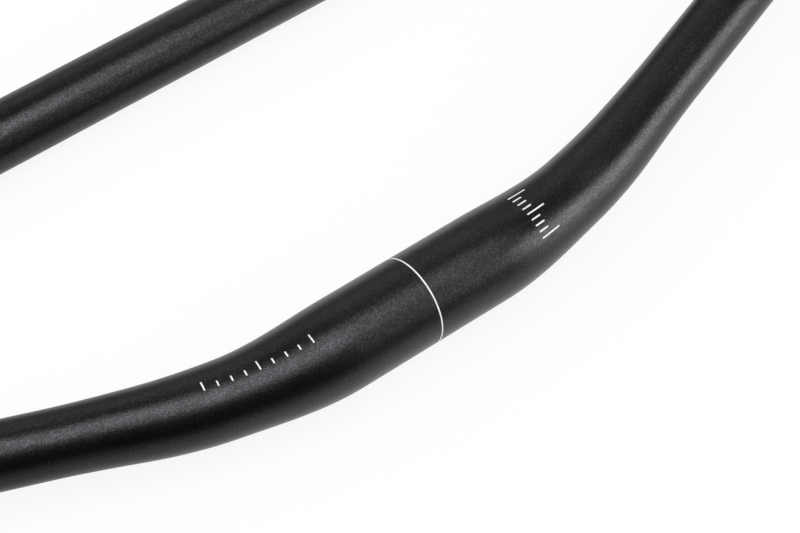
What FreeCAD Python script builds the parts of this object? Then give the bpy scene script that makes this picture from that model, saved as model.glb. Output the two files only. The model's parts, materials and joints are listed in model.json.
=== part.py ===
import FreeCAD, Part
import math
import os

# Bikepacking handlebar: a swaged and bent bar tube with a front loop welded across its two arms.
# Millimetres and degrees. The origin is the middle of the stem clamp seat, +X runs along the seat to the
# rider's right, +Y points forward and +Z points up. Lying on a table, the bar touches it with the underside
# of the clamp seat and the underside of the loop's front run, so both undersides share one level plane.

# Tube sections
CLAMP_DIAMETER = 31.8
TUBE_DIAMETER = 22.2
CLAMP_WALL = 2.8
GRIP_WALL = 2.0
LOOP_WALL = 1.8

# Swage from the clamp seat down to the tube: a shoulder that takes its share of the drop, then a long cone
SEAT_LENGTH = 60.0
SHOULDER_LENGTH = 44.0
CONE_LENGTH = 61.0
SHOULDER_SHARE = 0.56
SHOULDER_EXIT_SLOPE = 0.145

# Bends of the bar tube, with the straight runs between them
BAR_WIDTH = 800.0
SEAT_TO_BEND = 1.6
ARM_SWEEP = 17.6
ARM_LIFT = 11.2
ARM_BEND_RADIUS = 235.0
SWAGE_TO_FOOT = 62.4
WELD_TO_BEND = 6.0
GRIP_SWEEP = 20.0
GRIP_UPSWEEP = 3.0
GRIP_BEND_RADIUS = 60.0
END_CHAMFER = 0.5

# Front loop, with legs that are drawn down to the feet
LOOP_FORWARD = 123.2
LOOP_BEND_RADIUS = 60.0
FOOT_DIAMETER = 19.0
FOOT_PARALLEL = 3.0
WELD_LEG = 3.6

# Longest steps between the swage's sections, and how far the bore is cut past each bar end
OUTSIDE_SECTION_STEP = 9.0
BORE_SECTION_STEP = 18.0
BORE_OVERRUN = 1.0

CLAMP_RADIUS = CLAMP_DIAMETER / 2
TUBE_RADIUS = TUBE_DIAMETER / 2
FOOT_RADIUS = FOOT_DIAMETER / 2
SEAT_HALF = SEAT_LENGTH / 2

Vector = FreeCAD.Vector
ORIGIN = Vector(0, 0, 0)
X_AXIS = Vector(1, 0, 0)


def unit(vector):
    """The same direction with length one."""
    return Vector(vector).normalize()


def mirrored(vector):
    """The same point or direction on the left half."""
    return Vector(-vector.x, vector.y, vector.z)


def tangent_length(bend_radius, angle):
    """Length from a bend's start to the vertex where its two straight runs meet, for an angle in radians."""
    return bend_radius * math.tan(angle / 2)


def upward_plane(lift):
    """Direction square to X that points forward, and up by the lift angle."""
    return Vector(0, math.cos(math.radians(lift)), math.sin(math.radians(lift)))


def grip_direction():
    """Direction of the right grip, outwards: swept back and a little up."""
    sweep, up = math.radians(GRIP_SWEEP), math.radians(GRIP_UPSWEEP)
    return Vector(math.cos(sweep) * math.cos(up), -math.sin(sweep) * math.cos(up), math.sin(up))


# Right half of the bar's centre line: the arm turns forward out of the seat, and the grip turns back again
ARM_TURN = math.radians(ARM_SWEEP)
ARM_SIDE = upward_plane(ARM_LIFT)
ARM_DIRECTION = X_AXIS * math.cos(ARM_TURN) + ARM_SIDE * math.sin(ARM_TURN)
ARM_BEND_START = SEAT_HALF + SEAT_TO_BEND
ARM_BEND_END = ARM_BEND_START + ARM_BEND_RADIUS * ARM_TURN
ARM_TANGENT = tangent_length(ARM_BEND_RADIUS, ARM_TURN)
ARM_VERTEX = X_AXIS * (ARM_BEND_START + ARM_TANGENT)
CONE_START = SEAT_HALF + SHOULDER_LENGTH
CONE_END = CONE_START + CONE_LENGTH
SWAGE_END = max(CONE_END, ARM_BEND_END)


def centre_line(length):
    """Point and direction of the right arm's centre line at a length from the middle of the bar."""
    if length <= ARM_BEND_START:
        return X_AXIS * length, X_AXIS
    if length >= ARM_BEND_END:
        return ARM_VERTEX + ARM_DIRECTION * (ARM_TANGENT + length - ARM_BEND_END), ARM_DIRECTION
    turn = (length - ARM_BEND_START) / ARM_BEND_RADIUS
    forward = ARM_SIDE * (ARM_BEND_RADIUS * (1 - math.cos(turn)))
    point = X_AXIS * (ARM_BEND_START + ARM_BEND_RADIUS * math.sin(turn)) + forward
    return point, X_AXIS * math.cos(turn) + ARM_SIDE * math.sin(turn)


ARM_START, _ = centre_line(SWAGE_END)
LOOP_FOOT = ARM_START + ARM_DIRECTION * SWAGE_TO_FOOT
GRIP_DIRECTION = grip_direction()
GRIP_BEND_START = LOOP_FOOT + ARM_DIRECTION * (FOOT_RADIUS + WELD_LEG + WELD_TO_BEND)
GRIP_TANGENT = tangent_length(GRIP_BEND_RADIUS, ARM_DIRECTION.getAngle(GRIP_DIRECTION))
GRIP_VERTEX = GRIP_BEND_START + ARM_DIRECTION * GRIP_TANGENT
BAR_END = GRIP_VERTEX + GRIP_DIRECTION * ((BAR_WIDTH / 2 - GRIP_VERTEX.x) / GRIP_DIRECTION.x)

# Right half of the loop's centre line: the leg stands square on the arm and bends into the level front run
LOOP_HEIGHT = TUBE_RADIUS - CLAMP_RADIUS
LEG_RISE = Vector(0, LOOP_FORWARD - LOOP_FOOT.y, LOOP_HEIGHT - LOOP_FOOT.z)
LOOP_VERTEX = LOOP_FOOT + LEG_RISE - X_AXIS * (LEG_RISE.dot(ARM_DIRECTION) / ARM_DIRECTION.x)
LEG_DIRECTION = unit(LOOP_VERTEX - LOOP_FOOT)
LOOP_TANGENT = tangent_length(LOOP_BEND_RADIUS, LEG_DIRECTION.getAngle(mirrored(X_AXIS)))
LEG_TOP = LOOP_VERTEX - LEG_DIRECTION * LOOP_TANGENT
FOOT_LENGTH = TUBE_RADIUS + WELD_LEG + FOOT_PARALLEL
FOOT_TOP = LOOP_FOOT + LEG_DIRECTION * FOOT_LENGTH


def joined(solids):
    """One solid from solids that meet face to face."""
    return solids[0].multiFuse(solids[1:]).removeSplitter()


def disc_outline(centre, normal, across, radius):
    """Circle as a wire, with its seam on the side that across points to."""
    turn = FreeCAD.Rotation(across, normal.cross(across), normal, "ZXY")
    circle = Part.makeCircle(radius)
    circle.Placement = FreeCAD.Placement(centre, turn)
    return Part.Wire([circle])


def eased(share, start, end, start_slope, end_slope):
    """Cubic from start to end over a share of 0 to 1, leaving and arriving at the given slopes."""
    square, cube = share**2, share**3
    blend = 3 * square - 2 * cube
    leaving = share - 2 * square + cube
    arriving = cube - square
    return start + (end - start) * blend + start_slope * leaving + end_slope * arriving


def swage_share(length):
    """Share of the swage's drop in radius that is done at a length from the middle of the bar."""
    if length <= CONE_START:
        return eased((length - SEAT_HALF) / SHOULDER_LENGTH, 0, SHOULDER_SHARE, 0, SHOULDER_EXIT_SLOPE)
    if length >= CONE_END:
        return 1.0
    slope = SHOULDER_EXIT_SLOPE * CONE_LENGTH / SHOULDER_LENGTH
    return eased((length - CONE_START) / CONE_LENGTH, SHOULDER_SHARE, 1, slope, 0)


def swaged_arm(clamp_radius, tube_radius, section_step, ruled):
    """Round solid along the arm bend that runs from the clamp seat's radius down to the tube's."""
    across = X_AXIS.cross(ARM_SIDE)
    spans = math.ceil((SWAGE_END - SEAT_HALF) / section_step)
    outlines = []
    for section in range(spans + 1):
        length = SEAT_HALF + (SWAGE_END - SEAT_HALF) * section / spans
        point, along = centre_line(length)
        radius = clamp_radius + (tube_radius - clamp_radius) * swage_share(length)
        outlines.append(disc_outline(point, along, across, radius))
    return Part.makeLoft(outlines, True, ruled)


def drawn_leg(foot_radius, tube_radius):
    """Round solids of the right leg: a parallel foot from the arm's centre line, then a taper to the bend."""
    foot = run(LOOP_FOOT, FOOT_TOP, foot_radius)
    taper_length = FOOT_TOP.distanceToPoint(LEG_TOP)
    taper = Part.makeCone(foot_radius, tube_radius, taper_length, FOOT_TOP, LEG_DIRECTION)
    return [foot, taper]


def bend(start, inward, outward, bend_radius, radius):
    """Round solid along an arc that starts at a point and turns from the inward to the outward direction."""
    axis = unit(inward.cross(outward))
    pivot = start + axis.cross(inward) * bend_radius
    disc = Part.Face(disc_outline(start, inward, axis, radius))
    return disc.revolve(pivot, axis, math.degrees(inward.getAngle(outward)))


def run(start, end, radius):
    """Round solid along a straight line."""
    return Part.makeCylinder(radius, start.distanceToPoint(end), start, end - start)


def bar_rod(swage, clamp_radius, tube_radius, overrun):
    """The whole bar as a solid rod round a swaged right arm, with each end longer by the overrun."""
    grip_start = GRIP_VERTEX + GRIP_DIRECTION * GRIP_TANGENT
    right = [
        swage,
        run(ARM_START, GRIP_BEND_START, tube_radius),
        bend(GRIP_BEND_START, ARM_DIRECTION, GRIP_DIRECTION, GRIP_BEND_RADIUS, tube_radius),
        run(grip_start, BAR_END + GRIP_DIRECTION * overrun, tube_radius),
    ]
    left = [solid.mirror(ORIGIN, X_AXIS) for solid in right]
    return joined([run(X_AXIS * -SEAT_HALF, X_AXIS * SEAT_HALF, clamp_radius)] + right + left)


def loop_rod(foot_radius, tube_radius):
    """The loop as a solid rod of the given radii, from arm centre line to arm centre line."""
    front_end = LOOP_VERTEX - X_AXIS * LOOP_TANGENT
    corner = bend(LEG_TOP, LEG_DIRECTION, mirrored(X_AXIS), LOOP_BEND_RADIUS, tube_radius)
    right = drawn_leg(foot_radius, tube_radius) + [corner]
    left = [solid.mirror(ORIGIN, X_AXIS) for solid in right]
    return joined([run(mirrored(front_end), front_end, tube_radius)] + right + left)


def end_edges(tube):
    """The circles at the two cut ends of the bar, outside and inside."""
    found = []
    for edge in tube.Edges:
        centre = edge.BoundBox.Center
        if min(centre.distanceToPoint(BAR_END), centre.distanceToPoint(mirrored(BAR_END))) < END_CHAMFER:
            found.append(edge)
    return found


def make_bar_solid():
    """The bar's outside as a solid rod, with a smooth swage."""
    swage = swaged_arm(CLAMP_RADIUS, TUBE_RADIUS, OUTSIDE_SECTION_STEP, False)
    return bar_rod(swage, CLAMP_RADIUS, TUBE_RADIUS, 0)


def make_bar_tube(bar_solid):
    """Butted bar tube with open, deburred ends. Out of sight, its bore is swaged in short straight steps."""
    clamp_bore, grip_bore = CLAMP_RADIUS - CLAMP_WALL, TUBE_RADIUS - GRIP_WALL
    swage = swaged_arm(clamp_bore, grip_bore, BORE_SECTION_STEP, True)
    tube = bar_solid.cut(bar_rod(swage, clamp_bore, grip_bore, BORE_OVERRUN))
    return tube.makeChamfer(END_CHAMFER, end_edges(tube))


def make_front_loop(bar_solid):
    """Bent loop tube with its two feet coped to sit on the bar's arms."""
    loop_solid = loop_rod(FOOT_RADIUS, TUBE_RADIUS)
    return loop_solid.cut([loop_rod(FOOT_RADIUS - LOOP_WALL, TUBE_RADIUS - LOOP_WALL), bar_solid])


def is_seam(edge):
    """Whether an edge of the joined arm and foot lies on both of their round walls."""
    point = edge.valueAt((edge.FirstParameter + edge.LastParameter) / 2) - LOOP_FOOT
    to_arm_axis = point.cross(ARM_DIRECTION).Length
    to_leg_axis = point.cross(LEG_DIRECTION).Length
    slack = FOOT_RADIUS / 1000
    return abs(to_arm_axis - TUBE_RADIUS) < slack and abs(to_leg_axis - FOOT_RADIUS) < slack


def make_right_weld():
    """Flat-faced fillet weld round the right foot, in the corner between the arm and the leg."""
    reach = ARM_DIRECTION * (2 * TUBE_DIAMETER)
    arm = run(LOOP_FOOT - reach, LOOP_FOOT + reach, TUBE_RADIUS)
    leg = run(LOOP_FOOT, FOOT_TOP, FOOT_RADIUS)
    corner = arm.fuse(leg)
    seam = [edge for edge in corner.Edges if is_seam(edge)]
    return corner.makeChamfer(WELD_LEG, seam).cut([arm, leg])


def make_weld_beads():
    """The beads of both feet, as one group of two solids."""
    right = make_right_weld()
    return Part.makeCompound([right.mirror(ORIGIN, X_AXIS), right])


def main():
    """Build every piece and write one STEP file for each."""
    bar_solid = make_bar_solid()
    pieces = {
        "bar_tube": make_bar_tube(bar_solid),
        "front_loop": make_front_loop(bar_solid),
        "weld_beads": make_weld_beads(),
    }
    os.makedirs("parts", exist_ok=True)
    for name, shape in pieces.items():
        shape.exportStep(os.path.join("parts", name + ".step"))
    return pieces


PIECES = main()
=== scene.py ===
"""Looks of a bikepacking handlebar: its tubes, welds and printed marks in a plain white studio.

Metres and radians throughout, but degrees for the lights. The origin is the middle of the stem clamp seat,
+X runs along the seat to the rider's right, +Y points forward and +Z points up. Every surface is worked out
on a grid of two parameters.
"""

import json
import logging
import math
from dataclasses import dataclass
from enum import Enum
from functools import cached_property

import bpy
import numpy as np
from mathutils import Matrix, Vector


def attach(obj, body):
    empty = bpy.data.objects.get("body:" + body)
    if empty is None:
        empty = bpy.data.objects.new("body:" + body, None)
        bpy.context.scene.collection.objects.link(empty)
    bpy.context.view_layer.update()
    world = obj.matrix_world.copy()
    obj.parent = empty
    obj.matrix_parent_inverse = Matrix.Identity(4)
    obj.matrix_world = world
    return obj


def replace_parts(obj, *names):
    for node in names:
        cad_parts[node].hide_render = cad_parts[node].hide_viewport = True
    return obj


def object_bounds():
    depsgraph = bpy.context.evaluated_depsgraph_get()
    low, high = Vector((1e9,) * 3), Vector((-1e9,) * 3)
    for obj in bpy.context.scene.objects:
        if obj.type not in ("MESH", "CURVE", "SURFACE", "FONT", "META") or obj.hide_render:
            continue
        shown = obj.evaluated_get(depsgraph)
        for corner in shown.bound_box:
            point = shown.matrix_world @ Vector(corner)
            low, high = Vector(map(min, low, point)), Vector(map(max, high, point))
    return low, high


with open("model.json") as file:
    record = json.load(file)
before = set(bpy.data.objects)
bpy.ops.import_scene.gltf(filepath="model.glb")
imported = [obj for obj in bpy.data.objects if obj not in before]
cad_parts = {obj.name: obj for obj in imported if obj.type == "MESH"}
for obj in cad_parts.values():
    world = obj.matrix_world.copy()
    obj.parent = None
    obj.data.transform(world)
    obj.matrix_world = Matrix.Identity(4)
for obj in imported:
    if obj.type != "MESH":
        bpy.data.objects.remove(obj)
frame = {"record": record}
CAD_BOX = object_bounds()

LOG = logging.getLogger("handlebar")
ROOT_BODY = "root"
MM = 0.001
UP = np.array([0.0, 0.0, 1.0])
X_AXIS = np.array([1.0, 0.0, 0.0])
WHITE = (1.0, 1.0, 1.0, 1.0)

Array = np.ndarray
Colour = tuple[float, float, float]
Triple = tuple[float, float, float]
Pair = tuple[float, float]


class Side(Enum):
    """The rider's left or right half of the bar, as the sign of X there."""

    LEFT = -1.0
    RIGHT = 1.0

    def place(self, points: Array) -> Array:
        """Points of the right half, moved to this half by the sign of X."""
        return points * np.array([self.value, 1.0, 1.0])


class Slot(Enum):
    """Names of the record's material slots. No piece here is given one."""

    ANODISED = "black_anodised"
    PRINT = "white_print"


# Arrays and meshes


def unit(vectors: Array) -> Array:
    """The same directions with length one, along the last axis."""
    return vectors / np.linalg.norm(vectors, axis=-1, keepdims=True)


def eased(share: Array, start: float, end: float, start_slope: float, end_slope: float) -> Array:
    """Cubic that leaves and arrives at given slopes.

    In words: start plus the rise times 3t^2 - 2t^3, plus the first slope times t - 2t^2 + t^3, plus the last
    slope times t^3 - t^2, where t is the share.

    Args:
        share: Places between 0 and 1.
        start: Value at 0.
        end: Value at 1.
        start_slope: Slope at 0, per whole share.
        end_slope: Slope at 1, per whole share.

    Returns:
        The value at each share.
    """
    square, cube = share**2, share**3
    rise = (end - start) * (3 * square - 2 * cube)
    return start + rise + start_slope * (share - 2 * square + cube) + end_slope * (cube - square)


def ring_frames(tangents: Array) -> tuple[Array, Array]:
    """For each tangent, the square direction that is nearest to up, and the tangent crossed with it."""
    upward = unit(UP - (tangents @ UP)[:, None] * tangents)
    return upward, np.cross(tangents, upward)


def closed_grid_faces(rows: int, columns: int) -> Array:
    """Quads of a grid that joins up with itself in both directions, as a torus does.

    Args:
        rows: Number of grid rows.
        columns: Number of grid columns.

    Returns:
        Vertex numbers, four in each row.
    """
    row, column = np.meshgrid(np.arange(rows), np.arange(columns), indexing="ij")
    next_row, next_column = (row + 1) % rows, (column + 1) % columns
    corners = [(row, column), (row, next_column), (next_row, next_column), (next_row, column)]
    return np.stack([r * columns + c for r, c in corners], axis=-1).reshape(-1, 4)


def turned_outward(vertices: Array, faces: Array) -> Array:
    """Quads of a closed mesh, turned round if their volume comes out negative.

    The volume is a sixth of the sum of the triple products of each quad's two triangles.

    Args:
        vertices: Vertex places, one row each.
        faces: Vertex numbers, four in each row.

    Returns:
        The quads with their faces pointing outwards.
    """
    a, b, c, d = (vertices[faces[:, k]] for k in range(4))
    volume = np.einsum("ij,ij->", a, np.cross(b, c)) + np.einsum("ij,ij->", a, np.cross(c, d))
    return faces if volume > 0 else faces[:, ::-1]


def add_object(name: str, data: bpy.types.ID) -> bpy.types.Object:
    """A new object in the scene, at the origin.

    Args:
        name: Name of the object.
        data: Its mesh, light or camera.

    Returns:
        The object.
    """
    added = bpy.data.objects.new(name, data)
    bpy.context.scene.collection.objects.link(added)
    return added


def pose(place: Array, right: Array, back: Array) -> Matrix:
    """Matrix of an object at a place, with its X to the right and its Z to the back."""
    turned = Matrix([right, np.cross(back, right), back]).transposed().to_4x4()
    return Matrix.Translation(Vector(place)) @ turned


def make_piece(
    name: str, points: Array, faces: Array, material: bpy.types.Material
) -> bpy.types.Object:
    """A smooth closed mesh that rides on the bar's one body.

    Args:
        name: Name of the piece.
        points: Vertex places, with X, Y and Z along the last axis.
        faces: Vertex numbers, four in each row, in either order.
        material: The finish of the whole piece.

    Returns:
        The new object, at the origin, with its place in its mesh.
    """
    vertices = points.reshape(-1, 3)
    quads = turned_outward(vertices, faces)
    mesh = bpy.data.meshes.new(name)
    mesh.vertices.add(len(vertices))
    mesh.vertices.foreach_set("co", vertices.astype(np.float32).ravel())
    mesh.loops.add(quads.size)
    mesh.loops.foreach_set("vertex_index", quads.astype(np.int32).ravel())
    mesh.polygons.add(len(quads))
    mesh.polygons.foreach_set("loop_start", np.arange(0, quads.size, 4, dtype=np.int32))
    mesh.polygons.foreach_set("use_smooth", np.ones(len(quads), dtype=bool))
    mesh.update(calc_edges=True)
    mesh.validate()
    mesh.materials.append(material)
    piece = add_object(name, mesh)
    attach(piece, ROOT_BODY)
    return piece


def grid_piece(name: str, points: Array, material: bpy.types.Material) -> bpy.types.Object:
    """A piece from a grid of points that joins up with itself in both directions."""
    return make_piece(name, points, closed_grid_faces(*points.shape[:2]), material)


# Paths of bent tubes


@dataclass(frozen=True)
class Span:
    """A straight run or an arc of a bent path, from one length along the path to another."""

    start: float
    end: float
    place: Array
    direction: Array
    side: Array
    radius: float

    def at(self, lengths: Array) -> tuple[Array, Array]:
        """Points and tangents at lengths along the path.

        On an arc a point is the start plus the radius times sin t along the run and 1 - cos t to the side,
        where t is the length over the radius. On a straight run it is the start plus the length.

        Args:
            lengths: Lengths along the whole path.

        Returns:
            Points and unit tangents, one row each.
        """
        run = (lengths - self.start)[:, None]
        if math.isinf(self.radius):
            return self.place + run * self.direction, np.broadcast_to(self.direction, (len(lengths), 3))
        turn = run / self.radius
        forward, inward = np.sin(turn), 1 - np.cos(turn)
        points = self.place + self.radius * (forward * self.direction + inward * self.side)
        return points, np.cos(turn) * self.direction + forward * self.side


@dataclass(frozen=True)
class BentPath:
    """Centre line of a bent tube: straight runs between corners, with an arc at each inner corner."""

    corners: Array
    bend_radii: tuple[float, ...]

    @classmethod
    def mirrored(cls, corners: Array, bend_radii: tuple[float, ...]) -> "BentPath":
        """Path from the far left to the far right, from the corners and bends of its right half."""
        left = Side.LEFT.place(corners)[::-1]
        return cls(np.concatenate([left, corners]), bend_radii[::-1] + bend_radii)

    @cached_property
    def spans(self) -> list[Span]:
        """The runs and arcs in order, each arc tangent to its two runs.

        An arc starts ahead of its corner by its radius times the tangent of half the turn.

        Returns:
            Straight runs and arcs by turns, from the first corner to the last.
        """
        spans: list[Span] = []
        place, length = self.corners[0], 0.0
        directions = unit(np.diff(self.corners, axis=0))
        for k, radius in enumerate(self.bend_radii):
            inward, outward = directions[k], directions[k + 1]
            turn = math.acos(float(inward @ outward))
            bend_start = self.corners[k + 1] - inward * radius * math.tan(turn / 2)
            bend_length = length + float(np.linalg.norm(bend_start - place))
            spans.append(Span(length, bend_length, place, inward, np.zeros(3), math.inf))
            side = unit(outward - inward * float(inward @ outward))
            arc = Span(bend_length, bend_length + radius * turn, bend_start, inward, side, radius)
            spans.append(arc)
            place, length = arc.at(np.array([arc.end]))[0][0], arc.end
        end = length + float(np.linalg.norm(self.corners[-1] - place))
        spans.append(Span(length, end, place, directions[-1], np.zeros(3), math.inf))
        return spans

    @property
    def length(self) -> float:
        """Length of the whole path."""
        return self.spans[-1].end

    def at(self, lengths: Array) -> tuple[Array, Array]:
        """Points and tangents at lengths along the path.

        Args:
            lengths: Lengths from the path's first corner. Beyond the ends the end runs carry on straight.

        Returns:
            Points and unit tangents, one row each.
        """
        points, tangents = np.empty((len(lengths), 3)), np.empty((len(lengths), 3))
        starts = np.array([span.start for span in self.spans])
        owner = np.clip(np.searchsorted(starts, lengths, side="right") - 1, 0, len(self.spans) - 1)
        for k, span in enumerate(self.spans):
            points[owner == k], tangents[owner == k] = span.at(lengths[owner == k])
        return points, tangents

    def stations(self, run_step: float, turn_step: float) -> Array:
        """Lengths at which to set rings, evenly over each run and arc.

        Args:
            run_step: Longest step on a straight run.
            turn_step: Longest turn between rings on an arc.

        Returns:
            Rising lengths from the path's start to its end.
        """
        places = []
        for span in self.spans:
            longest = run_step if math.isinf(span.radius) else turn_step * span.radius
            steps = max(1, math.ceil((span.end - span.start) / longest))
            places.append(np.linspace(span.start, span.end, steps, endpoint=False))
        return np.append(np.concatenate(places), self.length)


def ring_points(path: BentPath, lengths: Array, radii: Array, angles: Array) -> Array:
    """Rings round a path.

    Each point is the path's point plus the radius times cos a upwards and sin a to the tangent's side.

    Args:
        path: The centre line.
        lengths: Length along the path of each ring.
        radii: Radius of each ring.
        angles: Angles round each ring, from up.

    Returns:
        Points as rings by angles by three.
    """
    centres, tangents = path.at(lengths)
    upward, sideways = ring_frames(tangents)
    cosine, sine = np.cos(angles)[None, :, None], np.sin(angles)[None, :, None]
    around = cosine * upward[:, None] + sine * sideways[:, None]
    return centres[:, None] + radii[:, None, None] * around


def full_turn(count: int) -> Array:
    """Evenly spaced angles round a whole turn."""
    return np.linspace(0, 2 * math.pi, count, endpoint=False)


# Sizes


@dataclass(frozen=True)
class BarSizes:
    """Driving sizes of the handlebar, and the points and directions that follow from them."""

    clamp_radius: float
    tube_radius: float
    bore_radius: float
    seat_length: float
    loop_forward: float
    loop_height: float
    bar_end: Array
    grip_direction: Array
    clamp_wall: float = 2.8 * MM
    loop_wall: float = 1.8 * MM
    shoulder_length: float = 44 * MM
    cone_length: float = 61 * MM
    shoulder_share: float = 0.56
    shoulder_exit_slope: float = 0.145
    seat_to_bend: float = 1.6 * MM
    arm_sweep: float = math.radians(17.6)
    arm_lift: float = math.radians(11.2)
    arm_bend_radius: float = 235 * MM
    swage_to_foot: float = 62.4 * MM
    weld_to_bend: float = 6 * MM
    grip_bend_radius: float = 60 * MM
    loop_bend_radius: float = 60 * MM
    foot_radius: float = 9.5 * MM
    foot_parallel: float = 3 * MM
    weld_leg: float = 3.6 * MM
    end_chamfer: float = 0.5 * MM

    @classmethod
    def from_record(cls, record: dict) -> "BarSizes":
        """Sizes with the mounts' radii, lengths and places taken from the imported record.

        Args:
            record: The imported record.

        Returns:
            The sizes of the bar.
        """
        mounts = {mount["name"]: mount for mount in record["mounts"]}
        clamp, front = mounts["stem_clamp"], mounts["front_bar_seat"]
        grip, bore = mounts["right_grip_seat"], mounts["right_bar_end"]
        direction = unit(np.array(grip["axis"]))
        to_end = grip["dims"]["length_mm"] * MM / 2 + cls.end_chamfer
        return cls(
            clamp_radius=clamp["dims"]["r_mm"] * MM,
            tube_radius=grip["dims"]["r_mm"] * MM,
            bore_radius=bore["dims"]["r_mm"] * MM,
            seat_length=clamp["dims"]["length_mm"] * MM,
            loop_forward=front["pos_m"][1],
            loop_height=front["pos_m"][2],
            bar_end=np.array(grip["pos_m"]) + direction * to_end,
            grip_direction=direction,
        )

    @cached_property
    def cone_start(self) -> float:
        """Length from the bar's middle to the end of the shoulder."""
        return self.seat_length / 2 + self.shoulder_length

    @cached_property
    def cone_end(self) -> float:
        """Length from the bar's middle to the end of the swage."""
        return self.cone_start + self.cone_length

    @cached_property
    def arm_direction(self) -> Array:
        """Direction of the right arm: turned forward, in a plane that is lifted a little."""
        forward = np.array([0.0, math.cos(self.arm_lift), math.sin(self.arm_lift)])
        return X_AXIS * math.cos(self.arm_sweep) + forward * math.sin(self.arm_sweep)

    @cached_property
    def bend_start(self) -> float:
        """Length from the bar's middle to the start of the arm's bend."""
        return self.seat_length / 2 + self.seat_to_bend

    @cached_property
    def arm_tangent(self) -> float:
        """Length from either end of the arm's bend to the bend's corner."""
        return self.arm_bend_radius * math.tan(self.arm_sweep / 2)

    @cached_property
    def arm_vertex(self) -> Array:
        """Corner where the seat's line meets the right arm's line."""
        return X_AXIS * (self.bend_start + self.arm_tangent)

    @cached_property
    def loop_foot(self) -> Array:
        """Point on the right arm's line that the loop's leg stands on, a little past the swage.

        Returns:
            The point's place.
        """
        bend_end = self.bend_start + self.arm_bend_radius * self.arm_sweep
        reach = self.arm_tangent + self.cone_end + self.swage_to_foot - bend_end
        return self.arm_vertex + self.arm_direction * reach

    @cached_property
    def grip_vertex(self) -> Array:
        """Corner where the right arm's line meets the grip's line, a bend past the weld.

        Returns:
            The corner's place.
        """
        turn = math.acos(float(self.arm_direction @ self.grip_direction))
        tangent = self.grip_bend_radius * math.tan(turn / 2)
        reach = self.foot_radius + self.weld_leg + self.weld_to_bend + tangent
        return self.loop_foot + self.arm_direction * reach

    @cached_property
    def loop_vertex(self) -> Array:
        """Corner where the right leg's line, square to the arm, meets the front run's line.

        The corner has the front run's Y and Z, and its X is such that the leg has no part along the arm.

        Returns:
            The corner's place.
        """
        run = np.array([self.loop_foot[0], self.loop_forward, self.loop_height])
        along_arm = float((run - self.loop_foot) @ self.arm_direction)
        return run - X_AXIS * along_arm / self.arm_direction[0]

    @cached_property
    def leg_direction(self) -> Array:
        """Direction of the right leg, from the arm to the front run."""
        return unit(self.loop_vertex - self.loop_foot)

    @cached_property
    def foot_length(self) -> float:
        """Length of the leg's parallel foot, from the arm's centre line."""
        return self.tube_radius + self.weld_leg + self.foot_parallel

    @cached_property
    def leg_length(self) -> float:
        """Length of the straight leg, from the arm's centre line to the loop's bend.

        Returns:
            The leg to its corner, less the bend's tangent.
        """
        turn = math.acos(float(-self.leg_direction[0]))
        to_corner = float(np.linalg.norm(self.loop_vertex - self.loop_foot))
        return to_corner - self.loop_bend_radius * math.tan(turn / 2)

    def swage_share(self, lengths: Array) -> Array:
        """Share of the swage's drop in radius, eased over the shoulder and then over the cone.

        Args:
            lengths: Lengths from the bar's middle, on either side.

        Returns:
            Shares from 0 at the seat to 1 on the tube.
        """
        shoulder = np.clip((np.abs(lengths) - self.seat_length / 2) / self.shoulder_length, 0, 1)
        cone = np.clip((np.abs(lengths) - self.cone_start) / self.cone_length, 0, 1)
        slope = self.shoulder_exit_slope * self.cone_length / self.shoulder_length
        falling = eased(shoulder, 0, self.shoulder_share, 0, self.shoulder_exit_slope)
        settling = eased(cone, self.shoulder_share, 1, slope, 0)
        return np.where(np.abs(lengths) <= self.cone_start, falling, settling)


# Sub-assemblies


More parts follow.
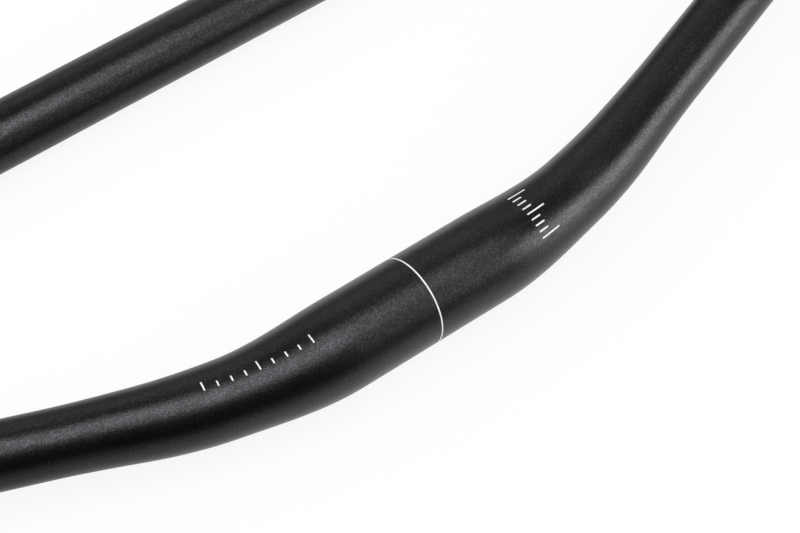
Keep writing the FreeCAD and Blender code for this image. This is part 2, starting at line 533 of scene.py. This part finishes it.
@dataclass
class BarTube:
    """The swaged, butted and bent bar tube, hollow from end to end."""

    sizes: BarSizes
    finish: bpy.types.Material
    around: int = 128
    run_step: float = 7 * MM
    turn_step: float = math.radians(1.0)
    swage_step: float = 1.2 * MM
    bore_coarseness: float = 2.5
    merge_digits: int = 5
    edge_support: float = 0.06 * MM
    edge_run: float = 0.6 * MM

    @cached_property
    def path(self) -> BentPath:
        """Centre line from the left bar end to the right one, with a bend at each arm and each grip."""
        right = np.stack([self.sizes.arm_vertex, self.sizes.grip_vertex, self.sizes.bar_end])
        return BentPath.mirrored(right, (self.sizes.arm_bend_radius, self.sizes.grip_bend_radius))

    def outer_radii(self, lengths: Array) -> Array:
        """Outside radius at lengths from the bar's middle."""
        drop = self.sizes.clamp_radius - self.sizes.tube_radius
        return self.sizes.clamp_radius - drop * self.sizes.swage_share(lengths)

    def bore_radii(self, lengths: Array) -> Array:
        """Bore radius at lengths from the bar's middle."""
        clamp_bore = self.sizes.clamp_radius - self.sizes.clamp_wall
        return clamp_bore - (clamp_bore - self.sizes.bore_radius) * self.sizes.swage_share(lengths)

    def rings(self, lengths: Array, radii: Array, angles: Array) -> Array:
        """Rings round the bar, by lengths from its middle, radii and angles from up to the rear."""
        return ring_points(self.path, lengths + self.path.length / 2, radii, angles)

    def skin(self, lengths: Array, angles: Array, lift: float) -> Array:
        """Points at a lift over the outside, by lengths from the middle and angles from up to the rear."""
        return self.rings(lengths, self.outer_radii(lengths) + lift, angles)

    def ring_places(self, coarseness: float) -> Array:
        """Lengths of a wall's rings: evenly on each run and bend, closer over the swage, clear of the ends.

        Args:
            coarseness: How many times the finest steps each step is.

        Returns:
            Rising lengths from the bar's middle.
        """
        half, reach = self.path.length / 2, self.sizes.cone_end
        along = self.path.stations(self.run_step * coarseness, self.turn_step * coarseness) - half
        swage = np.arange(-reach, reach, self.swage_step)[:: round(coarseness)]
        places = np.unique(np.round(np.concatenate([along, swage]), self.merge_digits))
        return places[np.abs(places) < half - self.run_step]

    def right_end(self) -> Array:
        """The wall's outline over the right bar end: outer chamfer, end face and inner chamfer.

        Both edges share one outline of lengths and depths into the wall, with a ring close to each corner so
        that the smooth shading turns there.

        Returns:
            Lengths from the bar's middle and radii, one row each.
        """
        half, chamfer, near = self.path.length / 2, self.sizes.end_chamfer, self.edge_support
        edge = half - chamfer
        rim = np.array([
            (edge - self.edge_run, 0.0), (edge - near, 0.0), (edge, 0.0), (edge + near, near),
            (half - near, chamfer - near), (half, chamfer), (half, chamfer + near),
        ])
        outer = np.stack([rim[:, 0], self.sizes.tube_radius - rim[:, 1]], axis=1)
        inner = np.stack([rim[:, 0], self.sizes.bore_radius + rim[:, 1]], axis=1)
        return np.concatenate([outer, inner[::-1]])

    def section(self) -> tuple[Array, Array]:
        """The wall's outline, out along the outside and back along the bore.

        Returns:
            Lengths from the bar's middle and radii of the rings, in order round the wall.
        """
        outside, bore = self.ring_places(1.0), self.ring_places(self.bore_coarseness)[::-1]
        end = self.right_end()
        wall = np.concatenate([
            np.stack([outside, self.outer_radii(outside)], axis=1), end,
            np.stack([bore, self.bore_radii(bore)], axis=1), end[::-1] * np.array([-1.0, 1.0]),
        ])
        return wall[:, 0], wall[:, 1]

    def build(self) -> bpy.types.Object:
        """The whole wall, with a ring for each point of its outline, standing for its solid."""
        points = self.rings(*self.section(), full_turn(self.around))
        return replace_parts(grid_piece("bar_tube_wall", points, self.finish), "bar_tube")


@dataclass
class FrontLoop:
    """The bent tube across the front, with legs that taper to feet coped to the arms."""

    sizes: BarSizes
    finish: bpy.types.Material
    around: int = 112
    run_step: float = 5 * MM
    turn_step: float = math.radians(1.2)
    foot_rings: int = 10
    seat_depth: float = 0.1 * MM

    @cached_property
    def path(self) -> BentPath:
        """Centre line from the left arm's line to the right one's, with a bend at each side."""
        right = np.stack([self.sizes.loop_vertex, self.sizes.loop_foot])
        return BentPath.mirrored(right, (self.sizes.loop_bend_radius,))

    def outer_radii(self, lengths: Array) -> Array:
        """Outside radius along the path: parallel on the foot, then a straight taper, then the tube's own.

        Args:
            lengths: Lengths from the left arm's line.

        Returns:
            Radii, one for each length.
        """
        from_arm = np.minimum(lengths, self.path.length - lengths)
        ends = [self.sizes.foot_length, self.sizes.leg_length]
        return np.interp(from_arm, ends, [self.sizes.foot_radius, self.sizes.tube_radius])

    def cope(self, side: Side, radius: float, angles: Array) -> Array:
        """Length from the arm's line at which a leg of some radius meets the arm.

        A point at the angle a from the arm's direction stands radius times sin a beside the arm's line, and
        meets the arm at the root of the arm's radius squared less that distance squared.

        Args:
            side: Which leg.
            radius: Radius on the leg, outside or bore.
            angles: Angles round the leg's ring.

        Returns:
            Lengths from the arm's line, one for each angle.
        """
        end = 0.0 if side is Side.LEFT else self.path.length
        _, tangents = self.path.at(np.array([end]))
        upward, sideways = ring_frames(tangents)
        arm = side.place(self.sizes.arm_direction)
        turn = math.atan2(float(sideways[0] @ arm), float(upward[0] @ arm))
        beside = radius * np.sin(angles - turn)
        return np.sqrt(self.sizes.tube_radius**2 - beside**2) - self.seat_depth

    def wall(self, depth: float, angles: Array) -> Array:
        """One wall of the tube, from the left arm to the right arm.

        The rings of each foot slide along the leg, so that the first lies on the arm and the last is square.

        Args:
            depth: Depth below the outside.
            angles: Angles round the tube.

        Returns:
            Points as rings by angles by three.
        """
        foot, total = self.sizes.foot_length, self.path.length
        inner = self.path.stations(self.run_step, self.turn_step)
        inner = inner[(inner > foot + self.run_step / 2) & (inner < total - foot - self.run_step / 2)]
        rows = ring_points(self.path, inner, self.outer_radii(inner) - depth, angles)
        share = np.linspace(0, 1, self.foot_rings)[:, None, None]
        ends = []
        for side, level, sign in ((Side.LEFT, 0.0, 1.0), (Side.RIGHT, total, -1.0)):
            top = np.array([level + sign * foot])
            square = ring_points(self.path, top, self.outer_radii(top) - depth, angles)
            _, tangents = self.path.at(top)
            back = foot - self.cope(side, self.sizes.foot_radius - depth, angles)
            ends.append(square - sign * tangents[0] * back[None, :, None] * (1 - share))
        return np.concatenate([ends[0], rows, ends[1][::-1]])

    def build(self) -> bpy.types.Object:
        """The tube's outside, left to right, and then its bore, right to left, as one closed grid.

        Returns:
            The loop, standing for its solid.
        """
        angles = full_turn(self.around)
        points = np.concatenate([self.wall(0.0, angles), self.wall(self.sizes.loop_wall, angles)[::-1]])
        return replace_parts(grid_piece("front_loop_wall", points, self.finish), "front_loop")


@dataclass
class WeldBeads:
    """The rippled fillet welds round the loop's two feet."""

    sizes: BarSizes
    finish: bpy.types.Material
    ripple_pitch: float = 2.1 * MM
    ripple_height: float = 0.26 * MM
    ripple_bow: float = 0.55
    ripple_drift: float = 0.18
    drift_waves: tuple[int, float] = (5, 1.3)
    crown: float = 0.3 * MM
    waver: float = 0.05
    waver_waves: tuple[tuple[int, float], ...] = ((3, 0.7), (7, 2.1))
    toe_sink: float = 0.12 * MM
    root_depth: float = 0.8 * MM
    points_per_ripple: int = 14
    across: int = 22

    def seam(self, angles: Array) -> tuple[Array, Array, Array]:
        """The corner between the right arm and the leg, with the weld's two toes.

        The toes lie on the two tubes unrolled flat: each is a weld leg's length from the seam, square to it,
        and is rolled up again. The weld leg's length wavers with the angle by two slow sines.

        Args:
            angles: Angles round the leg, from the arm's direction.

        Returns:
            Points on the seam, on the arm's toe and on the leg's toe, one row for each angle.
        """
        foot, tube = self.sizes.foot_radius, self.sizes.tube_radius
        arm, leg = self.sizes.arm_direction, self.sizes.leg_direction
        beside = np.cross(leg, arm)
        sine, cosine = np.sin(angles), np.cos(angles)
        height = np.sqrt(tube**2 - (foot * sine) ** 2)
        waver = sum(np.sin(waves * angles + shift) for waves, shift in self.waver_waves)
        reach = self.sizes.weld_leg * (1 + self.waver * waver)

        def on_leg(turn: Array, level: Array) -> Array:
            """Points on the leg's foot at a turn round it and a level along it."""
            flat = np.cos(turn)[:, None] * arm + np.sin(turn)[:, None] * beside
            return self.sizes.loop_foot + foot * flat + level[:, None] * leg

        def on_arm(along: Array, turn: Array) -> Array:
            """Points on the arm at a length along it and a turn round it from the leg."""
            round_arm = np.cos(turn)[:, None] * leg + np.sin(turn)[:, None] * beside
            return self.sizes.loop_foot + along[:, None] * arm + tube * round_arm

        step_along, step_round = -foot * sine, foot * cosine * tube / height
        size = np.hypot(step_along, step_round)
        arm_toe = on_arm(foot * cosine + reach * step_round / size,
                         np.arcsin(foot * sine / tube) - reach * step_along / size / tube)
        step_level = -(foot**2) * sine * cosine / height
        size = np.hypot(foot, step_level)
        leg_toe = on_leg(angles - reach * step_level / size / foot, height + reach * foot / size)
        return on_leg(angles, height), arm_toe, leg_toe

    def bead(self) -> Array:
        """The right foot's bead as a closed grid.

        Across the bead a point lies on the chord between the toes, lifted by the crown times 4v(1 - v). On
        the crown each ripple is an arch 1 - (2p - 1)^2 of its phase p. The phase lags by the bow towards the
        toes, so that the ripples are crescents, and it drifts a little round the foot. The root point closes
        the section inside the metal.

        Returns:
            Points as angles by section by three.
        """
        middle_radius = self.sizes.foot_radius + self.sizes.weld_leg / 2
        ripples = round(2 * math.pi * middle_radius / self.ripple_pitch)
        angles = full_turn(ripples * self.points_per_ripple)
        seam, arm_toe, leg_toe = self.seam(angles)
        outward = unit((arm_toe + leg_toe) / 2 - seam)
        v = np.linspace(0, 1, self.across)
        arch = 4 * v * (1 - v)
        phase = angles[:, None] / (2 * math.pi) * ripples + self.ripple_bow * arch[None]
        waves, shift = self.drift_waves
        phase = phase + self.ripple_drift * np.sin(waves * angles + shift)[:, None]
        scallop = 1 - (2 * np.mod(phase, 1) - 1) ** 2
        lift = (self.crown + self.ripple_height * scallop) * arch[None] - self.toe_sink
        chord = arm_toe[:, None] * (1 - v)[None, :, None] + leg_toe[:, None] * v[None, :, None]
        root = seam - outward * self.root_depth
        return np.concatenate([chord + lift[..., None] * outward[:, None], root[:, None]], axis=1)

    def build(self) -> list[bpy.types.Object]:
        """Both beads, the left one a mirror of the right.

        Returns:
            The two beads, which stand for the group of solids.
        """
        points = self.bead()
        beads = []
        for side in Side:
            name = f"{side.name.lower()}_weld_bead"
            piece = grid_piece(name, side.place(points), self.finish)
            beads.append(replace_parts(piece, "weld_beads"))
        return beads


@dataclass
class PrintedMarks:
    """White marks printed on the bar: a scale of places, the centre ring and a scale of roll."""

    bar: BarTube
    ink: bpy.types.Material
    ink_height: float = 0.03 * MM
    ink_edge: float = 0.015 * MM
    ink_depth: float = 0.1 * MM
    line_width: float = 0.55 * MM
    ring_points_around: int = 192
    patch_cells: int = 10
    tick_count: int = 9
    long_every: int = 4
    place_scale_start: float = -84 * MM
    place_scale_step: float = 5 * MM
    place_ticks: Pair = (2.0 * MM, 3.4 * MM)
    roll_scale_start: float = 46 * MM
    roll_scale_step: float = math.radians(9)
    roll_ticks: Pair = (4.0 * MM, 8.0 * MM)

    def centre_ring(self) -> bpy.types.Object:
        """The ring round the middle of the clamp seat: a flat band's outline carried round the seat.

        Returns:
            The ring.
        """
        half = self.line_width / 2
        lengths = np.array([-half, -half / 2, half / 2, half, half, -half])
        over = [self.ink_edge, self.ink_height, self.ink_height, self.ink_edge]
        radii = self.bar.outer_radii(lengths) + np.array([*over, -self.ink_depth, -self.ink_depth])
        points = self.bar.rings(lengths, radii, full_turn(self.ring_points_around))
        return grid_piece("centre_ring_print", points, self.ink)

    def patch(self, lengths: Pair, angles: Pair) -> Array:
        """One printed tick, as a closed grid wrapped round the bar.

        The grid's rows run along the tick and its columns go over the ink and back under it.

        Args:
            lengths: First and last length from the bar's middle.
            angles: First and last angle from up.

        Returns:
            Points as rows by columns by three.
        """
        share = np.linspace(0, 1, self.patch_cells)
        along = np.interp(share, [0, 1], lengths)
        round_tube = np.interp(share, [0, 1], angles)
        over = self.bar.skin(along, round_tube, self.ink_height)
        under = self.bar.skin(along, round_tube, -self.ink_depth)
        return np.concatenate([over, under[:, ::-1]], axis=1)

    def tick_faces(self) -> Array:
        """Quads of one tick: a tube round its columns, closed at both ends by quads from over to under.

        Returns:
            Vertex numbers, four in each row.
        """
        cells, columns = self.patch_cells, 2 * self.patch_cells
        tube = closed_grid_faces(cells, columns)[:-columns]
        j = np.arange(cells - 1)
        end = np.stack([j, columns - 1 - j, columns - 2 - j, j + 1], axis=-1)
        return np.concatenate([tube, end[:, ::-1], end + (cells - 1) * columns])

    def scale(self, name: str, ticks: list[Array]) -> bpy.types.Object:
        """Several ticks as one piece.

        Args:
            name: Name of the piece.
            ticks: Points of each tick.

        Returns:
            The scale.
        """
        stride = 2 * self.patch_cells**2
        faces = self.tick_faces()[None] + (np.arange(len(ticks)) * stride)[:, None, None]
        return make_piece(name, np.stack(ticks), faces.reshape(-1, 4), self.ink)

    def tick_lengths(self, short_and_long: Pair) -> Array:
        """Lengths of a scale's ticks: the first one is long, and so is each one that closes a group."""
        short, long = short_and_long
        return np.where(np.arange(self.tick_count) % self.long_every, short, long)

    def place_scale(self) -> bpy.types.Object:
        """A row of ticks across the left swage, evenly spaced along the bar, from the top to the front.

        Returns:
            The scale.
        """
        lengths = self.place_scale_start + np.arange(self.tick_count) * self.place_scale_step
        turns = self.tick_lengths(self.place_ticks) / self.bar.outer_radii(lengths)
        half = self.line_width / 2
        ticks = [self.patch((at - half, at + half), (-turn, 0.0)) for at, turn in zip(lengths, turns)]
        return self.scale("place_scale_print", ticks)

    def roll_scale(self) -> bpy.types.Object:
        """A fan of ticks along the right swage, evenly spaced round the bar, with its middle at the top.

        Returns:
            The scale.
        """
        start = self.roll_scale_start
        angles = (np.arange(self.tick_count) - self.tick_count // 2) * self.roll_scale_step
        ends = start + self.tick_lengths(self.roll_ticks)
        half = self.line_width / 2 / float(self.bar.outer_radii(np.array([start]))[0])
        ticks = [self.patch((start, end), (at - half, at + half)) for at, end in zip(angles, ends)]
        return self.scale("roll_scale_print", ticks)

    def build(self) -> list[bpy.types.Object]:
        """All the marks, in order from left to right."""
        return [self.place_scale(), self.centre_ring(), self.roll_scale()]


# Finishes


class Shader:
    """A node tree with short ways to add and join nodes."""

    def __init__(self, tree: bpy.types.NodeTree) -> None:
        """Starts on an emptied tree."""
        self.tree = tree
        tree.nodes.clear()

    def add(
        self, kind: str, values: dict[str | int, object] | None = None, **settings: object
    ) -> bpy.types.Node:
        """A new node.

        Args:
            kind: The node's type name.
            values: Input values by socket name or number. A socket of another node is joined instead.
            settings: Node properties.

        Returns:
            The node.
        """
        node = self.tree.nodes.new(kind)
        for name, value in settings.items():
            setattr(node, name, value)
        for name, value in (values or {}).items():
            if isinstance(value, bpy.types.NodeSocket):
                self.tree.links.new(value, node.inputs[name])
            else:
                node.inputs[name].default_value = value
        return node

    def compute(self, operation: str, *values: object) -> bpy.types.NodeSocket:
        """Output of a Math node on two or three numbers or sockets."""
        return self.add("ShaderNodeMath", dict(enumerate(values)), operation=operation).outputs[0]

    def ramp(
        self, value: bpy.types.NodeSocket, reach: Pair, levels: Pair, smooth: bool = False
    ) -> bpy.types.NodeSocket:
        """Output of a Map Range node, even before and after its reach.

        Args:
            value: The socket to map.
            reach: Values at which the ramp starts and ends.
            levels: Results there.
            smooth: Whether the ramp eases in and out.

        Returns:
            The result's socket.
        """
        ends = {"From Min": reach[0], "From Max": reach[1], "To Min": levels[0], "To Max": levels[1]}
        kind = "SMOOTHSTEP" if smooth else "LINEAR"
        return self.add("ShaderNodeMapRange", {0: value, **ends}, interpolation_type=kind).outputs[0]


@dataclass(frozen=True)
class BlastGrain:
    """Grain of a bead-blasted surface. Its scales are per grain, so one group suits every grain size."""

    pit_depth: float = 0.5
    noise_scale: float = 0.8
    noise_detail: float = 3.0
    noise_gain: float = 0.6
    haze_scale: float = 0.02
    haze_detail: float = 2.0
    haze_range: Pair = (0.3, 0.7)

    def group(self) -> bpy.types.NodeTree:
        """The grain as a node group.

        Height is fine noise with the pits of a cell pattern taken off. Fleck is 1 in the cells whose random
        value lies in the top share, and 0 in the rest. Haze is slow noise over many grains, from 0 to 1.

        Returns:
            The group, with inputs Vector, Grain Size and Fleck Share and outputs Height, Fleck and Haze.
        """
        group = bpy.data.node_groups.new("blast_grain", "ShaderNodeTree")
        group.interface.new_socket("Vector", in_out="INPUT", socket_type="NodeSocketVector")
        for name in ("Grain Size", "Fleck Share"):
            group.interface.new_socket(name, in_out="INPUT", socket_type="NodeSocketFloat")
        for name in ("Height", "Fleck", "Haze"):
            group.interface.new_socket(name, in_out="OUTPUT", socket_type="NodeSocketFloat")
        shader = Shader(group)
        given = shader.add("NodeGroupInput").outputs
        density = shader.compute("DIVIDE", 1.0, given["Grain Size"])
        sized = shader.add("ShaderNodeVectorMath", {0: given["Vector"], "Scale": density}, operation="SCALE")
        grains = sized.outputs[0]
        cells = shader.add("ShaderNodeTexVoronoi", {"Vector": grains, "Scale": 1.0}).outputs
        noise = shader.add("ShaderNodeTexNoise", {
            "Vector": grains, "Scale": self.noise_scale,
            "Detail": self.noise_detail, "Roughness": self.noise_gain,
        })
        slow = shader.add("ShaderNodeTexNoise", {
            "Vector": grains, "Scale": self.haze_scale, "Detail": self.haze_detail,
        })
        haze = shader.ramp(slow.outputs[0], self.haze_range, (0.0, 1.0))
        chance = shader.add("ShaderNodeSeparateColor", {0: cells["Color"]}).outputs[0]
        fleck = shader.compute("GREATER_THAN", chance, shader.compute("SUBTRACT", 1.0, given["Fleck Share"]))
        height = shader.compute("MULTIPLY_ADD", cells["Distance"], -self.pit_depth, noise.outputs[0])
        shader.add("NodeGroupOutput", {"Height": height, "Fleck": fleck, "Haze": haze})
        return group


@dataclass(frozen=True)
class BlastedFinish:
    """A finish on a bead-blasted surface: a colour with bright flecks, bumpy grain and a hazy gloss."""

    name: str
    colour: Colour
    fleck_colour: Colour
    fleck_share: float
    metal_flecks: bool
    reflection: float
    roughness: float
    roughness_spread: float
    grain_size: float
    grain_depth: float
    grain_strength: float

    def material(self, grain: bpy.types.NodeTree) -> bpy.types.Material:
        """The finish as a material.

        Args:
            grain: The blast grain group.

        Returns:
            The new material.
        """
        material = bpy.data.materials.new(self.name)
        material.use_nodes = True
        shader = Shader(material.node_tree)
        place = shader.add("ShaderNodeTexCoord").outputs["Object"]
        blast = shader.add("ShaderNodeGroup", {
            "Vector": place, "Grain Size": self.grain_size, "Fleck Share": self.fleck_share,
        }, node_tree=grain).outputs
        colour = shader.add("ShaderNodeMix", {0: blast["Fleck"]}, data_type="RGBA")
        plain, bright = (socket for socket in colour.inputs if socket.type == "RGBA")
        plain.default_value = (*self.colour, 1.0)
        bright.default_value = (*self.fleck_colour, 1.0)
        mixed = next(socket for socket in colour.outputs if socket.type == "RGBA")
        low, high = self.roughness - self.roughness_spread, self.roughness + self.roughness_spread
        gloss = shader.ramp(blast["Haze"], (0.0, 1.0), (low, high))
        bump = shader.add("ShaderNodeBump", {
            "Height": blast["Height"], "Strength": self.grain_strength, "Distance": self.grain_depth,
        })
        surface = shader.add("ShaderNodeBsdfPrincipled", {
            "Base Color": mixed, "Roughness": gloss, "Normal": bump.outputs[0],
            "Specular IOR Level": self.reflection,
        })
        if self.metal_flecks:
            shader.tree.links.new(blast["Fleck"], surface.inputs["Metallic"])
        shader.add("ShaderNodeOutputMaterial", {"Surface": surface.outputs[0]})
        return material


ANODISED_TUBE = BlastedFinish(
    name="black_anodised_tube", colour=(0.0022, 0.0022, 0.0024), fleck_colour=(0.058, 0.058, 0.062),
    fleck_share=0.3, metal_flecks=True, reflection=0.37, roughness=0.31, roughness_spread=0.02,
    grain_size=0.34 * MM, grain_depth=0.07 * MM, grain_strength=0.6,
)
ANODISED_WELD = BlastedFinish(
    name="black_anodised_weld", colour=(0.005, 0.005, 0.0053), fleck_colour=(0.09, 0.09, 0.0945),
    fleck_share=0.2, metal_flecks=True, reflection=0.34, roughness=0.33, roughness_spread=0.03,
    grain_size=0.4 * MM, grain_depth=0.02 * MM, grain_strength=0.3,
)
WHITE_INK = BlastedFinish(
    name="white_print_ink", colour=(0.92, 0.92, 0.91), fleck_colour=(0.88, 0.88, 0.87),
    fleck_share=0.2, metal_flecks=False, reflection=0.5, roughness=0.5, roughness_spread=0.03,
    grain_size=0.42 * MM, grain_depth=0.02 * MM, grain_strength=0.25,
)


# Studio


@dataclass(frozen=True)
class SoftBox:
    """An even rectangular light that faces the origin.

    Its angles are its azimuth, its elevation and its turn about its own line of aim, in degrees. Its size
    is its width and its height.
    """

    name: str
    angles: Triple
    size: Pair
    radiance: float
    tint: Colour = (1.0, 1.0, 1.0)
    distance: float = 1.5
    watts_per_radiance: float = math.pi

    def build(self) -> bpy.types.Object:
        """The light, aimed at the origin and turned about its own line of aim.

        Returns:
            The light's object.
        """
        azimuth, elevation, turn = (math.radians(angle) for angle in self.angles)
        width, height = self.size
        level = math.cos(elevation)
        outward = np.array([level * math.cos(azimuth), level * math.sin(azimuth), math.sin(elevation)])
        side = np.array([-math.sin(azimuth), math.cos(azimuth), 0.0])
        rise = np.cross(outward, side)
        across = side * math.cos(turn) + rise * math.sin(turn)
        lamp = bpy.data.lights.new(self.name, "AREA")
        lamp.shape = "RECTANGLE"
        lamp.size, lamp.size_y = width, height
        lamp.color = self.tint
        lamp.energy = self.radiance * width * height * self.watts_per_radiance
        light = add_object(self.name, lamp)
        light.matrix_world = pose(outward * self.distance, across, outward)
        return light


@dataclass(frozen=True)
class PaintedLightFade:
    """A painted fall-off of the floor's glow in reflections: painted light and shade as a straight ramp
    along one direction.
    """

    direction: Triple
    reach: Pair
    levels: Pair

    def level(self, shader: Shader, place: bpy.types.NodeSocket) -> bpy.types.NodeSocket:
        """The painted light's level at a place on the floor."""
        along = shader.add("ShaderNodeVectorMath", {0: place, 1: self.direction}, operation="DOT_PRODUCT")
        return shader.ramp(along.outputs["Value"], self.reach, self.levels)


@dataclass
class Studio:
    """A white floor under the bar, soft boxes round it, a white horizon and the photograph's camera.

    The lens and the sensor are in millimetres, as cameras give them.
    """

    floor_level: float
    floor_half: float = 8.0
    floor_colour: Colour = (0.97, 0.97, 0.97)
    floor_glow: float = 0.88
    shadow_reach: Pair = (0.5, 1.3)
    # Painted light and shade on the floor, seen only in reflections.
    painted_light_to_right: PaintedLightFade = PaintedLightFade((0.86, -0.51, 0.0), reach=(-0.16, 0.0), levels=(0.65, 1.0))
    painted_shade_to_rear: PaintedLightFade = PaintedLightFade((-0.57, -0.8, 0.0), reach=(0.06, 0.25), levels=(1.0, 0.2))
    horizon_height: float = math.sin(math.radians(3))
    lens: float = 132.76
    sensor: float = 36.0
    camera_place: Triple = (-0.41927, -0.25363, 0.83513)
    camera_aim: Triple = (0.43545, 0.27322, -0.85775)
    camera_up: Triple = (0.45983, 0.75164, 0.47286)
    boxes: tuple[SoftBox, ...] = (
        SoftBox(
            "overhead_strip", angles=(-17.1, 75.3, -70.6), size=(0.17, 1.05), radiance=14.2,
            tint=(0.98, 1.0, 1.02),
        ),
        SoftBox("right_rear_box", angles=(-36.4, 26.7, -24.5), size=(0.52, 0.73), radiance=7.25),
        SoftBox("right_rear_apron", angles=(-44.4, 5.0, 8.0), size=(0.33, 0.23), radiance=4.7),
        SoftBox("front_fill", angles=(57.3, 29.4, -41.0), size=(1.325, 0.554), radiance=0.93),
        SoftBox("left_front_box", angles=(135.0, 35.0, 0.0), size=(1.6, 0.4), radiance=3.6),
        SoftBox("left_fill", angles=(180.0, 50.0, 0.0), size=(1.5, 1.5), radiance=2.0),
    )

    def floor_material(self) -> bpy.types.Material:
        """White paint for light and shadow, mixed with a glow that the camera and reflections see.

        Away from the bar the glow takes over, past the reach of its shadow. In reflections the glow carries
        painted light and
        shade: it is brightest at the right, where most light comes from, and falls off as painted shade to
        the left front and to the left rear. From below the floor is clear, so that the underside can be
        seen.

        Returns:
            The floor's material.
        """
        material = bpy.data.materials.new("studio_floor_white")
        material.use_nodes = True
        shader = Shader(material.node_tree)
        path = shader.add("ShaderNodeLightPath").outputs
        mirrored = shader.compute("MAXIMUM", path["Is Glossy Ray"], path["Is Transmission Ray"])
        seen = shader.compute("MAXIMUM", path["Is Camera Ray"], mirrored)
        place = shader.add("ShaderNodeTexCoord").outputs["Object"]
        away = shader.add("ShaderNodeVectorMath", {0: place}, operation="LENGTH").outputs["Value"]
        glowing = shader.ramp(away, self.shadow_reach, (self.floor_glow, 1.0), smooth=True)
        share = shader.compute("MULTIPLY", seen, glowing)
        # Painted light and shade in reflections: the floor's glow is dimmed to the left front and to the
        # left rear.
        sideways = self.painted_light_to_right.level(shader, place)
        painted_rear_shade = self.painted_shade_to_rear.level(shader, place)
        painted_reflection_level = shader.compute("MULTIPLY", sideways, painted_rear_shade)
        level = shader.compute("MAXIMUM", path["Is Camera Ray"], painted_reflection_level)
        glow = shader.add("ShaderNodeEmission", {"Color": WHITE, "Strength": level}).outputs[0]
        paint = shader.add("ShaderNodeBsdfDiffuse", {"Color": (*self.floor_colour, 1.0)}).outputs[0]
        both = shader.add("ShaderNodeMixShader", {0: share, 1: paint, 2: glow}).outputs[0]
        under = shader.add("ShaderNodeNewGeometry").outputs["Backfacing"]
        clear = shader.add("ShaderNodeBsdfTransparent").outputs[0]
        whole = shader.add("ShaderNodeMixShader", {0: under, 1: both, 2: clear}).outputs[0]
        shader.add("ShaderNodeOutputMaterial", {"Surface": whole})
        return material

    def floor(self) -> bpy.types.Object:
        """One wide square, level with the bar's lowest point.

        Returns:
            The floor's object.
        """
        half, level = self.floor_half, self.floor_level
        corners = [(-half, -half, level), (half, -half, level), (half, half, level), (-half, half, level)]
        mesh = bpy.data.meshes.new("studio_floor")
        mesh.from_pydata(corners, [], [(0, 1, 2, 3)])
        mesh.materials.append(self.floor_material())
        floor = add_object("studio_floor", mesh)
        return floor

    def horizon(self) -> None:
        """World that is white to the camera, and to light and reflections only up to a low white horizon."""
        world = bpy.data.worlds.new("studio_world")
        world.use_nodes = True
        shader = Shader(world.node_tree)
        direction = shader.add("ShaderNodeTexCoord").outputs["Generated"]
        rise = shader.add("ShaderNodeSeparateXYZ", {0: direction}).outputs["Z"]
        white = shader.ramp(rise, (0.0, self.horizon_height), (1.0, 0.0), smooth=True)
        seen = shader.add("ShaderNodeLightPath").outputs["Is Camera Ray"]
        level = shader.compute("MAXIMUM", white, seen)
        sky = shader.add("ShaderNodeBackground", {"Color": WHITE, "Strength": level})
        shader.add("ShaderNodeOutputWorld", {"Surface": sky.outputs[0]})
        bpy.context.scene.world = world

    def camera(self) -> bpy.types.Object:
        """The camera at the photograph's place, aim and roll.

        Returns:
            The camera's object.
        """
        aim = unit(np.array(self.camera_aim))
        right = unit(np.cross(aim, np.array(self.camera_up)))
        data = bpy.data.cameras.new("photo_camera")
        data.sensor_fit, data.sensor_width, data.lens = "HORIZONTAL", self.sensor, self.lens
        camera = add_object("photo_camera", data)
        camera.matrix_world = pose(np.array(self.camera_place), right, -aim)
        bpy.context.scene.camera = camera
        return camera

    def build(self) -> None:
        """Floor, horizon, lights and camera."""
        bpy.context.scene.view_settings.view_transform = "Standard"
        self.floor()
        self.horizon()
        self.camera()
        for box in self.boxes:
            box.build()


def main() -> None:
    """Builds the pieces, dresses them and sets up the studio."""
    logging.basicConfig(level=logging.INFO, format="%(message)s")
    sizes = BarSizes.from_record(frame["record"])
    grain = BlastGrain().group()
    tube, weld, ink = (finish.material(grain) for finish in (ANODISED_TUBE, ANODISED_WELD, WHITE_INK))
    bar = BarTube(sizes, tube)
    pieces = [bar.build(), FrontLoop(sizes, tube).build()]
    pieces += WeldBeads(sizes, weld).build()
    pieces += PrintedMarks(bar, ink).build()
    for piece in pieces:
        LOG.info("%s: %d quads", piece.name, len(piece.data.polygons))
    Studio(floor_level=CAD_BOX[0].z).build()


if __name__ == "__main__":
    main()
